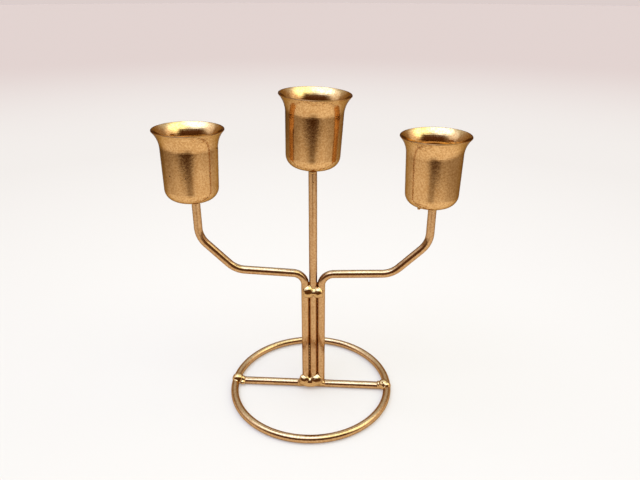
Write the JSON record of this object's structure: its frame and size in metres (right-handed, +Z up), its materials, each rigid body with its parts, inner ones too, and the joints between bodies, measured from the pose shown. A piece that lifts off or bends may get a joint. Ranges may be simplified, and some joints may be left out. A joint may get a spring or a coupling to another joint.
{
  "type": "table candle stand",
  "caption": "Low candelabrum of welded round wire: a ring foot with a cross bar, upright wires that branch into curved arms, and a drawn bell cup on each wire's end for a taper candle",
  "frame": {"origin": "centre of the foot ring, on the table plane", "axes": "+Z up, the way the candles point; +X along the foot's cross bar, from the left cup to the right cup as the picture shows them; +Y away from the side with the weld beads, to the back"},
  "size_m": [0.1388, 0.0838, 0.154],
  "materials": {
    "wire": "satin gold lacquer on bent steel wire",
    "cup": "satin gold lacquer with a fine grain on drawn steel",
    "weld": "glossy gold lacquer pooled over weld beads"
  },
  "bodies": {
    "root": {"base_ring": "wire", "cross_bar": "wire", "centre_stem": "wire", "left_arm": "wire", "right_arm": "wire", "left_cup": "cup", "centre_cup": "cup", "right_cup": "cup", "foot_weld": "weld", "tie_weld": "weld", "left_ring_weld": "weld", "right_ring_weld": "weld", "left_cup_weld": "weld", "centre_cup_weld": "weld", "right_cup_weld": "weld"}
  },
  "joints": []
}
